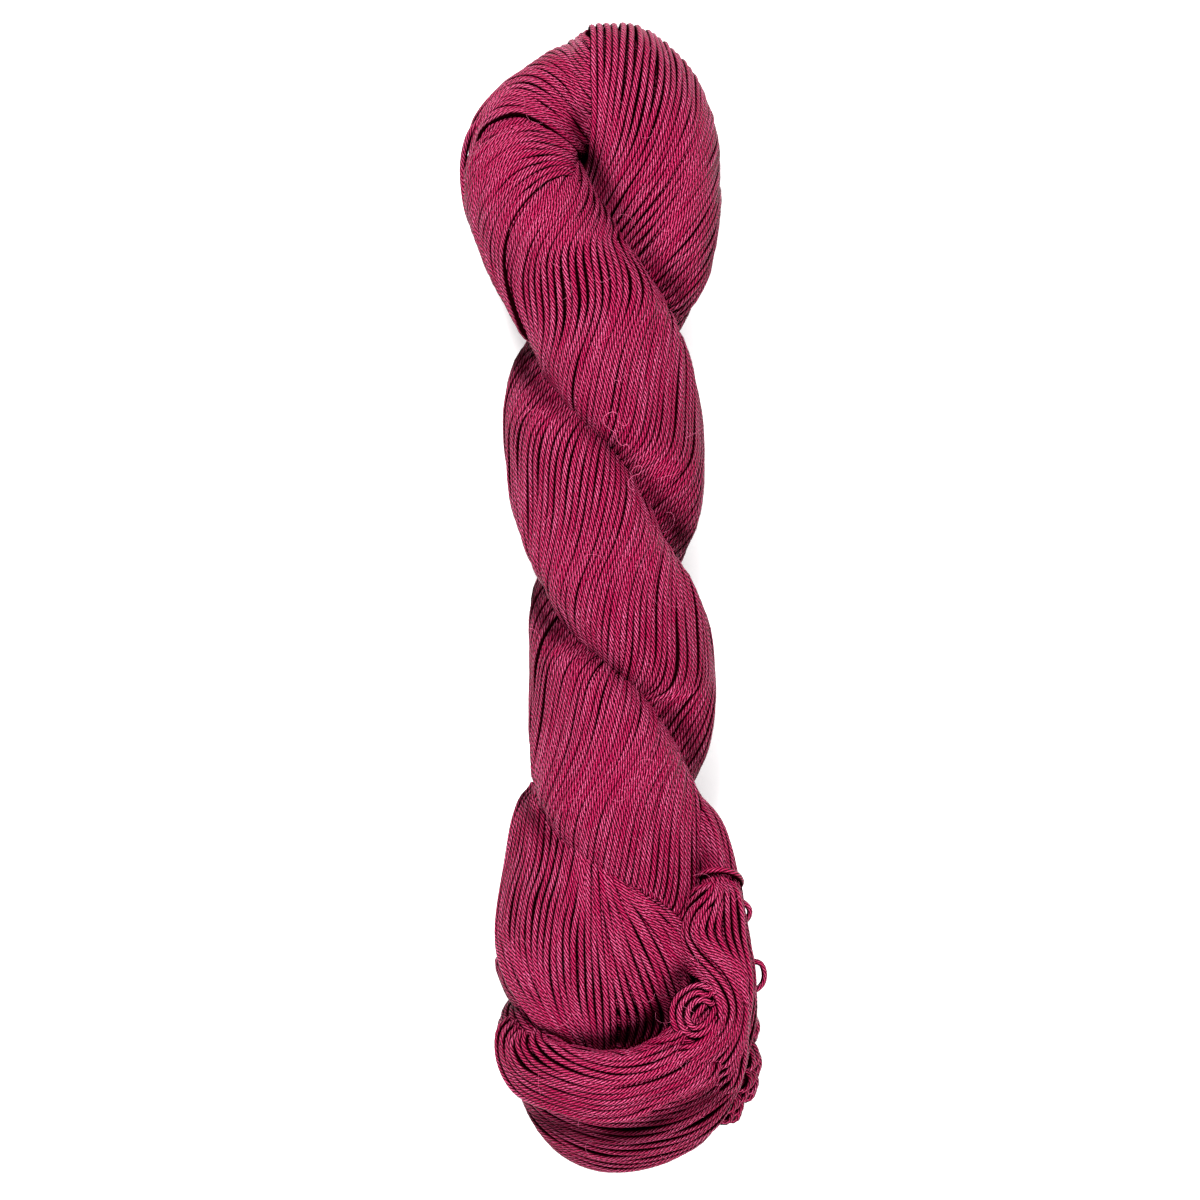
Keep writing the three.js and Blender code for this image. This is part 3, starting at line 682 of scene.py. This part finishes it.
PANEL_RIGHT = [
    [(-5.5, -61, 40.2), (-3.8, -69.5, 40.8), (-3, -78.2, 40.2), (-2.1, -86.7, 38.4),
     (-1, -95, 36), (-0.2, -103.3, 33.2), (0, -111.5, 30.3)],
    [(-4.2, -62, 40.5), (-2.6, -70.6, 40.9), (-1, -79.2, 40.2), (1, -87.5, 38.1),
     (3.4, -95.5, 35.7), (5.1, -103.5, 32.5), (4, -111.5, 29.3)],
    [(-3, -63, 40.7), (-0.8, -71.6, 41), (2.4, -79.9, 40), (5.4, -87.9, 37.6), (8.4, -95.9, 35.1),
     (10.3, -103.4, 30.7), (8.5, -111, 27.4)],
    [(-2, -64.5, 40.9), (1.4, -72.7, 41), (5.4, -80.6, 39.5), (9.1, -88.4, 36.9), (12.1, -96.3, 34),
     (13.8, -102.8, 28.3), (12, -110.2, 25.1)],
    [(-0.8, -66, 41.1), (4, -73.5, 40.9), (9, -80.6, 38.8), (12.9, -88.2, 36),
     (15.6, -96.1, 32.8), (16.5, -100.9, 25.7), (16, -106.5, 19.8)],
    [(1.5, -68, 41), (5.5, -73, 40.7), (9.8, -77.5, 39.2), (13.1, -82.5, 36.8), (15.9, -87.9, 34.8),
     (17.9, -93.5, 32.5), (18.8, -99, 29.2)],
    [(5, -70, 40.7), (8, -73, 40.3), (11.4, -75.3, 39), (14.2, -77.9, 37),
     (16.4, -80.8, 34.9), (18.3, -84.2, 33), (20, -87.8, 31.3)],
]
yarn_piece(tubes("pouch_strands_right", *sheet(PANEL_RIGHT, 0.7, 0.7, seed=41, dive=1.2), seed=41))
yarn_piece(tubes("pouch_strands_left", *sheet(PANEL_LEFT, 0.7, 1.3, seed=42, dive=1.2), seed=42))

# The band that makes the pouch
# The first arm's end is opened like a noose: a narrow limb on the right and a broad band of
# strands round the front, through which the second arm's end was pushed.
BAND_STRANDS = 44
# rim x y z, outer edge x y z, half the thickness, turns from the row before
BAND = [
    (11, -44.5, 22.5, 13, -47.5, 15.5, 4, 0.0),
    (19.6, -54.5, 29.5, 23.8, -56, 20.8, 4.7, 0.0),
    (22.8, -67.8, 32.5, 30, -68.2, 25.6, 4.5, 0.0),
    (18.3, -82, 36, 33, -82, 26, 6, -0.05),
    (22.2, -91, 36.5, 34, -91, 27, 6.3, 0.0),
    (20.5, -98.5, 38, 34, -101, 26, 6.5, 0.0),
    (15.5, -105.5, 39, 33, -111, 24.5, 6.5, 0.03),
    (10, -110, 39, 30, -122.5, 19, 7, 0.06),
    (3.5, -112.3, 38.5, 19.5, -135.5, 13, 7.5, 0.08),
    (-3.5, -113, 37.5, 1, -141.5, 9.5, 7.8, 0.05),
    (-10.5, -111.8, 35, -13.8, -135.8, 10.5, 7, 0.0),
    (-17, -108, 31, -21, -123.5, 11, 6, -0.04),
    (-22.3, -102, 26, -24.5, -114.5, 10, 5.5, 0.0),
    (-22.5, -99, 18.5, -22, -109, 8.3, 5.5, 0.02),
    (-18, -95, 11.5, -15, -105, 4.5, 6, 0.1),
    (-9, -89, 9, -4, -101.5, 6, 6.5, 0.1),
    (3, -82, 10, 9.4, -98, 10.5, 6.5, 0.1),
]


def band_section(row):
    """A section that runs from the rim to the outer edge: its side looks from edge to rim."""
    rim, edge, thick, turns = np.array(row[:3]), np.array(row[3:6]), row[6], row[7]
    half = np.linalg.norm(rim - edge) / 2
    return (*((rim + edge) / 2), *(rim - edge), half, thick, thick, turns)


band = np.array([band_section(row) for row in BAND], float)
band[:, 9] = np.cumsum(band[:, 9])
band_rows = even_rows(band, 0, len(band) - 1, TUBE_STEP)
yarn_piece(tubes("pouch_band", *wound(band, BAND_STRANDS, band_rows, seed=2, by_side=True), seed=7))
yarn_piece(core("pouch_band_core", band, by_side=True), SHADED)

# The band's upper layer and the narrow limb
# The uppermost strands come out of the pouch, roll over the band's left corner and lie over the
# lower ones. On the right the limb's strands swing left below the tie and run into the band.
RIM_ROLL = [
    [(-23.8, -100.2, 23.6), (-27.4, -107.1, 23.2), (-27.1, -114.4, 20.6), (-23.6, -120.9, 22.6),
     (-18, -124, 27.2), (-11.6, -125.9, 31.3), (-4.1, -127.4, 33.2), (3.5, -127.1, 34.4),
     (10.6, -123.9, 35.7), (17.7, -120.6, 36.1), (24.2, -116.2, 36), (28.2, -109.5, 36.6)],
    [(-23.5, -101.5, 25.7), (-26.3, -108, 25.4), (-25.1, -114.8, 24), (-21.3, -119.9, 26.5),
     (-16.1, -122.5, 30.5), (-9.9, -124.4, 33.5), (-3, -125.8, 34.9), (3.9, -124.9, 35.9),
     (10.6, -122.6, 36.7), (17.2, -120, 36.7), (23.2, -116.2, 36.7), (27, -110.2, 37.1)],
    [(-22.8, -102.8, 27.2), (-25.1, -108.7, 26.9), (-23.6, -114.9, 26.9), (-19.1, -118.4, 29.9),
     (-14, -120.7, 33.3), (-8.1, -122.3, 35.6), (-1.8, -123.2, 37), (4.6, -122.5, 37.6),
     (10.8, -120.5, 38), (16.8, -117.9, 38.2), (21.9, -113.9, 38.4), (25.5, -108.5, 38.8)],
    [(-21.5, -103.5, 28), (-23.7, -108.9, 28.5), (-21.3, -114.1, 29.9), (-16.9, -117.1, 32.7),
     (-11.9, -119.3, 35.4), (-6.3, -120.6, 37.3), (-0.4, -121, 38.3), (5.6, -120.2, 38.8),
     (11.4, -118.4, 39.1), (16.8, -115.7, 39.4), (21.3, -111.6, 39.7), (24.5, -106.5, 40)],
    [(-20.2, -104, 28.6), (-20.7, -108.9, 30.6), (-18, -113, 32.9), (-13.8, -115.6, 35.3),
     (-9.1, -117.5, 37.3), (-4, -118.8, 38.6), (1.4, -119.3, 39.2), (6.7, -118.3, 39.6),
     (11.8, -116.4, 39.9), (16.6, -113.8, 40.2), (20.5, -110.1, 40.4), (23.5, -105.5, 40.5)],
    [(-19, -105.2, 29.5), (-17.9, -109, 31.7), (-15.3, -111.8, 34.1), (-11.9, -113.9, 36.1),
     (-8, -115.5, 37.7), (-3.8, -116.6, 39), (0.6, -117.2, 39.7), (5.1, -117, 40),
     (9.5, -116, 40.3), (13.6, -114, 40.5), (17.3, -111.4, 40.7), (20.8, -108.5, 40.8)],
    [(-17.2, -107.2, 30.9), (-15.1, -109.9, 32.7), (-12.5, -111.9, 34.8), (-9.4, -113.4, 36.6),
     (-5.9, -114.4, 38), (-2.3, -115.2, 39.1), (1.5, -115.5, 39.8), (5.4, -115.2, 40.2),
     (9.1, -114.2, 40.5), (12.7, -112.7, 40.7), (16, -110.7, 40.9), (19, -108.2, 41)],
    [(-14.5, -109, 32.2), (-12.4, -110.8, 33.7), (-10.1, -112.1, 35.3), (-7.4, -113, 36.7),
     (-4.5, -113.5, 37.7), (-1.5, -113.7, 38.6), (1.5, -113.7, 39.2), (4.6, -113.5, 39.6),
     (7.6, -112.6, 40), (10.5, -111.5, 40.2), (13.3, -110.1, 40.5), (16, -108.5, 40.7)],
]
LIMB = [
    [(24.5, -68.5, 34), (21.4, -72.4, 33), (18.1, -76.2, 32.2), (16.5, -80.9, 32.9),
     (17.3, -85.9, 33), (19.5, -90.3, 33.5), (22.1, -93.6, 36.4), (24.2, -97.2, 39.3),
     (25.5, -102, 40.2), (23.4, -106.5, 40.4), (19.3, -109.5, 40.8), (14.5, -111.2, 40.8)],
    [(25.5, -68.5, 34.6), (23, -73.2, 35.2), (19.7, -77.3, 35.3), (18.4, -82.2, 35.9),
     (20.2, -87.1, 36.6), (23.5, -91.1, 37.9), (26.1, -95.5, 39.4), (27.5, -100.5, 39.5),
     (26.1, -105.6, 39.5), (22.5, -109.5, 40), (17.9, -112, 40.4), (12.8, -113.2, 40.7)],
    [(26.2, -68.5, 34.7), (24.6, -73.3, 35.8), (21.5, -77.3, 36.8), (20.2, -82, 37.7),
     (22.8, -86.3, 38.4), (26.1, -90.3, 38.9), (28.5, -94.9, 39), (29.7, -99.9, 38.4),
     (28.9, -104.9, 38), (26.1, -109.3, 38.3), (22.3, -112.7, 38.8), (17.8, -115.2, 39.2)],
    [(27, -68.5, 34.5), (25.8, -73.2, 35.7), (23.8, -77.4, 37.2), (22.6, -82, 38.3),
     (24.9, -86.3, 38.7), (28, -90.2, 38.7), (30, -94.7, 38.3), (31.3, -99.4, 37.3),
     (31.1, -104.2, 36.4), (29.7, -108.9, 35.9), (27.2, -113.2, 35.9), (23.5, -116.5, 36)],
    [(27.8, -68, 34.1), (26.9, -72.9, 35.3), (26.3, -77.8, 36.7), (26.3, -82.8, 37.7),
     (28.3, -87.5, 38.1), (30.7, -92, 37.8), (31.7, -97, 37.1), (32, -102, 36.1),
     (31.7, -107, 35), (30.3, -111.9, 34.1), (27.8, -116.3, 33.5), (24.5, -120.2, 33)],
    [(28.5, -67.8, 33.5), (28.7, -73, 34.3), (29.1, -78.3, 35.1), (29.7, -83.5, 36.1),
     (30.9, -88.6, 36.9), (31.9, -93.8, 37), (32.5, -99.1, 36.2), (32.3, -104.3, 35.2),
     (31.8, -109.4, 33.8), (30.6, -114.4, 32.3), (28.5, -119.1, 30.9), (25.8, -123.5, 29.7)],
    [(29.5, -67.8, 32.6), (30.3, -73, 33), (31.3, -78.3, 33.4), (31.9, -83.5, 34.4),
     (32.8, -88.7, 35.5), (33.2, -94, 35.8), (33.1, -99.4, 35.5), (32.7, -104.7, 34.7),
     (32.2, -109.8, 33.2), (31.4, -114.7, 31.2), (30, -119.5, 29.2), (27.5, -124, 27.9)],
]
yarn_piece(tubes("rim_roll", *sheet(RIM_ROLL, 1.7, 0.9, seed=51, dive_length=8.0), seed=51))
yarn_piece(tubes("limb_strands", *sheet(LIMB, 1.6, 0.9, seed=52, dive_length=5.0), seed=52))

# The curl in the band
# A few strands are longer than their neighbours and have sprung into a small open curl between
# the limb and the pouch.
CURL = [
    [(26, -93.5, 38.5), (24, -96, 40), (21.5, -95, 40.2), (18, -96.2, 39.6), (15.2, -99, 38.6),
     (14.5, -102.8, 38.2), (15.8, -106.5, 38.8), (18.2, -109, 40), (22, -109.2, 41.3), (26, -106.5, 41),
     (28.5, -103, 38.5)],
    [(26.5, -95, 38.5), (23.5, -97.6, 40.8), (20.7, -96.8, 41), (18, -98.3, 40.4), (16.4, -101, 39.6),
     (16.6, -104.5, 39.6), (18.4, -107.1, 40.6), (21.4, -107.3, 42), (24.5, -105, 41.8), (27, -101, 39)],
    [(27, -97.5, 38), (24.5, -99.6, 40.6), (22.4, -98.6, 41.4), (20, -99.3, 41), (18.5, -101.6, 40.2),
     (18.6, -104.2, 40.4), (20.2, -105.7, 41.2), (22.6, -104.8, 42), (24.6, -102.2, 41.4),
     (25.6, -99.4, 38.5)],
    [(18.3, -105.6, 37), (19.6, -103.6, 39.6), (21.4, -101.4, 40.6), (23.2, -99.2, 40),
     (24.6, -97.4, 37.5)],
]
yarn_piece(tubes("curl_strands", *drawn(CURL, 36), seed=53))

# The loops at the right
# The second arm's end sticks out behind the band as crinkled loops of strand, and two thin
# loops stand off the limb.
LOOP_ENDS = [
    [(29, -101, 13), (33, -102.6, 14), (35.4, -104.4, 13.5), (35.7, -107.4, 12.5), (33.4, -109, 12),
     (29.5, -108.6, 11)],
    [(29.5, -108, 12), (33.8, -110.8, 12.5), (36, -113.4, 12), (36.2, -116.5, 11), (34, -118.2, 10.5),
     (30, -117, 10)],
    [(29, -113, 11), (33.6, -116.8, 11.2), (35.6, -119.8, 10.5), (34.4, -122.6, 10), (31.8, -122.5, 9.5),
     (28.5, -119.5, 9.5)],
    [(27, -118, 10.5), (30.6, -122.6, 10.4), (31.9, -125.6, 10), (30.8, -128, 9.5), (28.3, -127.4, 9),
     (25.5, -123.5, 9)],
]
STACKED = [
    (0, 0, 0), (-0.6, 1.6, 2.0), (-0.5, -1.7, -2.1),
    (-1.6, 0.8, 3.9), (-1.3, -0.6, -4.2), (-2.4, -2.0, 1.6),
]
crinkled = [[tuple(np.add(point, shift)) for point in loop] for loop in LOOP_ENDS for shift in STACKED]
yarn_piece(tubes("loop_ends", *drawn(crinkled, 20, up=(0.7, 0, 0.7)), seed=54))
THIN_LOOPS = [
    [(31, -88, 28), (33.8, -89.2, 29), (36.6, -89.8, 29.5), (37.6, -92.2, 29.5), (37.2, -94.8, 29),
     (35.4, -96.6, 28.5), (32, -98.5, 27.5)],
    [(30.5, -73.5, 26), (32.6, -74.8, 27), (33.9, -76.4, 27.2), (33.6, -78.4, 27), (31.5, -80.5, 26)],
]
yarn_piece(tubes("thin_loops", *drawn(THIN_LOOPS, 18, up=(0.5, 0, 0.8)), radius=0.42 * STRAND, seed=55))

# The tie
# A strand of the same yarn, passed round the narrow limb so that the reel's turns stay
# together. The real one lies doubled and its ends are out of sight; this is one closed ring.
TIE = {"x": 26.1, "y": -69.5, "z": 28.6, "half_x": 5.6, "half_z": 6.0, "lean": 0.5}
TIE_STEPS = 40
TIE_YARN = cotton("tie_yarn", PAINTED_SHADE_COLOUR, FULL, PAINTED_HIGHLIGHT)
turn_angle = np.linspace(0, 2 * np.pi, TIE_STEPS, endpoint=False)
rise = TIE["half_z"] * np.sin(turn_angle)
over_limb = TIE["half_x"] * np.cos(turn_angle)
tie_path = np.stack([TIE["x"] + over_limb, TIE["y"] + TIE["lean"] * rise, TIE["z"] + rise], -1)
tie_out = unit(tie_path - tie_path.mean(axis=0))
tie = tubes("tie_strand", tie_path[None], tie_out[None], seed=11, closed=True)
tie.data.materials.append(TIE_YARN)
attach(tie, "root")
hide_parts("tie")

# The depth between the lobes, and stray fibres
# Little light gets into the folds between the lobes, where strands crowd, so their colour is
# painted near black there as painted shade. A few fine fibres have come loose and curl over the surface.
CELL = 1.2
RINGS = 12
ROUND_ABOUT = 16
FROM_THE_FOLD = 0.5
BESIDE_THE_HANK = ("loop_ends", "thin_loops")
yarn_pieces = [each for each in bpy.data.objects if each.type == "MESH" and each.data.uv_layers]


def corners_of(piece):
    """All vertices of a piece, in millimetres from the model's origin."""
    flat = np.empty(len(piece.data.vertices) * 3, np.float32)
    piece.data.vertices.foreach_get("co", flat)
    return flat.reshape(-1, 3) / MILLIMETRE


def widened(grid):
    """Each cell takes the highest value of itself and its eight neighbours."""
    rows = np.maximum(grid, np.maximum(np.roll(grid, 1, 0), np.roll(grid, -1, 0)))
    return np.maximum(rows, np.maximum(np.roll(rows, 1, 1), np.roll(rows, -1, 1)))


def blurred(grid, times):
    """Each cell takes the mean of itself and its four neighbours, so many times over."""
    for _ in range(times):
        beside = np.roll(grid, 1, 0) + np.roll(grid, -1, 0) + np.roll(grid, 1, 1) + np.roll(grid, -1, 1)
        grid = (grid + beside) / 5
    return grid


# light_reach is worked out from heights on a grid seen from above: for each of ROUND_ABOUT
# headings, how steeply the surface climbs within RINGS cells beyond its own lean
# Headings towards the fold count more. The yarn's colour is painted as shade where light_reach is low.
every_corner = np.concatenate([corners_of(each) for each in yarn_pieces])
low = every_corner.min(axis=0)[:2] - 3 * CELL
cells = np.ceil((every_corner.max(axis=0)[:2] + 3 * CELL - low) / CELL).astype(int) + 1
top = np.zeros(cells)
np.maximum.at(top, tuple(((every_corner[:, :2] - low) / CELL).round().astype(int).T), every_corner[:, 2])
top = widened(top)
lean_x, lean_y = np.gradient(blurred(top, 4), CELL)
light = np.zeros(cells)
weight = 0
for heading in 2 * np.pi * np.arange(ROUND_ABOUT) / ROUND_ABOUT:
    slope = np.zeros(cells)
    for far in range(1, RINGS + 1):
        across, up = round(far * math.cos(heading)), round(far * math.sin(heading))
        rise = np.roll(top, (-across, -up), (0, 1)) - top
        climb = rise / (CELL * math.hypot(across, up))
        own_lean = lean_x * math.cos(heading) + lean_y * math.sin(heading)
        slope = np.maximum(slope, np.minimum(climb, climb - own_lean))
    share = 1 + FROM_THE_FOLD * math.sin(heading)
    light += share / (1 + slope**2)
    weight += share
light = blurred(light / weight, 3)


def looked_up(grid, points):
    """The grid's value at each point: bilinear between the four nearest cells."""
    place = (points[:, :2] - low) / CELL
    cell = np.clip(np.floor(place).astype(int), 0, cells - 2)
    f, g = (place - cell).T
    i, j = cell.T
    nearer = grid[i, j] * (1 - f) + grid[i + 1, j] * f
    farther = grid[i, j + 1] * (1 - f) + grid[i + 1, j + 1] * f
    return nearer * (1 - g) + farther * g


for each in yarn_pieces:
    reach = each.data.attributes.new("light_reach", "FLOAT", "POINT")
    least = float(each.name in BESIDE_THE_HANK)
    reached = np.maximum(looked_up(light, corners_of(each)), least)
    reach.data.foreach_set("value", reached.astype(np.float32))

FIBRE = plain("loose_fibre", {"Base Color": (0.55, 0.09, 0.2, 1), "Roughness": 0.6})
CURLY_FIBRE = [
    [(-2.5, 44.7), (-2.7, 46.4), (-0.8, 47.8), (0.8, 47.4), (1.2, 45.4), (2.5, 44.4), (3.6, 45.2),
     (3.7, 46.4)],
    [(-2.6, 46.2), (-2.3, 44.8), (-1, 43.6), (0.3, 42.6), (0.8, 40.8), (2, 39.6), (3.2, 39.8),
     (4, 38.6)],
    [(4.2, 33), (5.6, 34.4), (7, 34.2), (6.4, 32.6), (4.8, 32), (3.6, 30.6), (3.9, 29),
     (5, 28.4)],
]
FUZZ = 90
HAIR_STEPS = 8
HAIR_STRIDE = (0.35, 0.8)
HAIR_BEND = 0.35
HAIRS_OVER = 16
CURLS_ABOVE = 0.7
HAIRS_ABOVE = 0.25


def laid(flat, above):
    """Paths over the yarn: each point stands `above` the grid's height there."""
    height = looked_up(top, flat.reshape(-1, 2)).reshape(flat.shape[:2])
    return np.concatenate([flat, (height + above + FLATTENED)[..., None]], -1)


def fibres(name, paths, thick):
    """Fine tubes along the paths, with the loose fibre's colour."""
    up = np.broadcast_to([0.0, 0, 1], paths.shape)
    yarn_piece(tubes(name, paths, up, radius=thick, sides=5), FIBRE)


curls = drawn([[(x, y, 0) for x, y in line] for line in CURLY_FIBRE], 60)[0]
fibres("curly_fibres", laid(curls[..., :2], CURLS_ABOVE), 0.04)

dice = np.random.default_rng(61)
spots = np.argwhere(top > HAIRS_OVER) * CELL + low
start_at = spots[dice.integers(0, len(spots), FUZZ)]
number = np.arange(HAIR_STEPS)[None]
steps_out = number * dice.uniform(*HAIR_STRIDE, (FUZZ, 1))
heading = dice.uniform(0, 2 * np.pi, (FUZZ, 1)) + number * dice.uniform(-HAIR_BEND, HAIR_BEND, (FUZZ, 1))
strides = np.stack([np.cos(heading) * steps_out, np.sin(heading) * steps_out], -1)
fibres("fuzz", laid(start_at[:, None] + strides, HAIRS_ABOVE) + [*CENTRE, 0], 0.02)

# The floor, the light and the camera
# A white sweep, one broad soft light from beyond the fold and above, a weaker one from the
# near side, and a long lens straight above the hank.
FLOOR_HALF = 4.0
CAMERA_HEIGHT = 4.0
FRAME_WIDTH = 0.3
VIEW_CENTRE = (-0.0033, 0.0009)
MID_HEIGHT = 0.03

floor_mesh = bpy.data.meshes.new("floor")
corners = [(x * FLOOR_HALF, y * FLOOR_HALF, 0) for x, y in ((-1, -1), (1, -1), (1, 1), (-1, 1))]
floor_mesh.from_pydata(corners, [], [(0, 1, 2, 3)])
floor = bpy.data.objects.new("floor", floor_mesh)
bpy.context.scene.collection.objects.link(floor)
sweep = plain(
    "white_sweep",
    {
        "Base Color": (0.6, 0.6, 0.6, 1),
        "Roughness": 0.9,
        "Specular IOR Level": 0.1,
        "Emission Color": (1, 1, 1, 1),
        "Emission Strength": 0.62,
    },
)
floor_mesh.materials.append(sweep)

bpy.context.scene.view_settings.view_transform = "Standard"
world = bpy.data.worlds.new("studio")
world.use_nodes = True
world.node_tree.nodes["Background"].inputs["Color"].default_value = (1, 1, 1, 1)
world.node_tree.nodes["Background"].inputs["Strength"].default_value = 0.22
bpy.context.scene.world = world


def soft_light(name, place, target, size, power):
    """A square area light at `place` that faces `target`."""
    lamp = bpy.data.lights.new(name, "AREA")
    lamp.size = size
    lamp.energy = power
    made = bpy.data.objects.new(name, lamp)
    made.location = place
    away = np.array(place) - np.array(target)
    made.rotation_euler = (math.acos(away[2] / np.linalg.norm(away)), 0, math.atan2(away[0], -away[1]))
    bpy.context.scene.collection.objects.link(made)


soft_light("window", (-0.2, 0.8, 1.1), (0, 0, 0.02), 0.35, 46)
soft_light("near_side", (0.2, -1.0, 0.8), (0, -0.05, 0.02), 0.6, 26)

lens = bpy.data.cameras.new("camera")
lens.sensor_width = 36
lens.lens = lens.sensor_width / (FRAME_WIDTH / (CAMERA_HEIGHT - MID_HEIGHT))
lens.clip_start = 0.05
camera = bpy.data.objects.new("camera", lens)
camera.location = (*VIEW_CENTRE, CAMERA_HEIGHT)
bpy.context.scene.collection.objects.link(camera)
bpy.context.scene.camera = camera
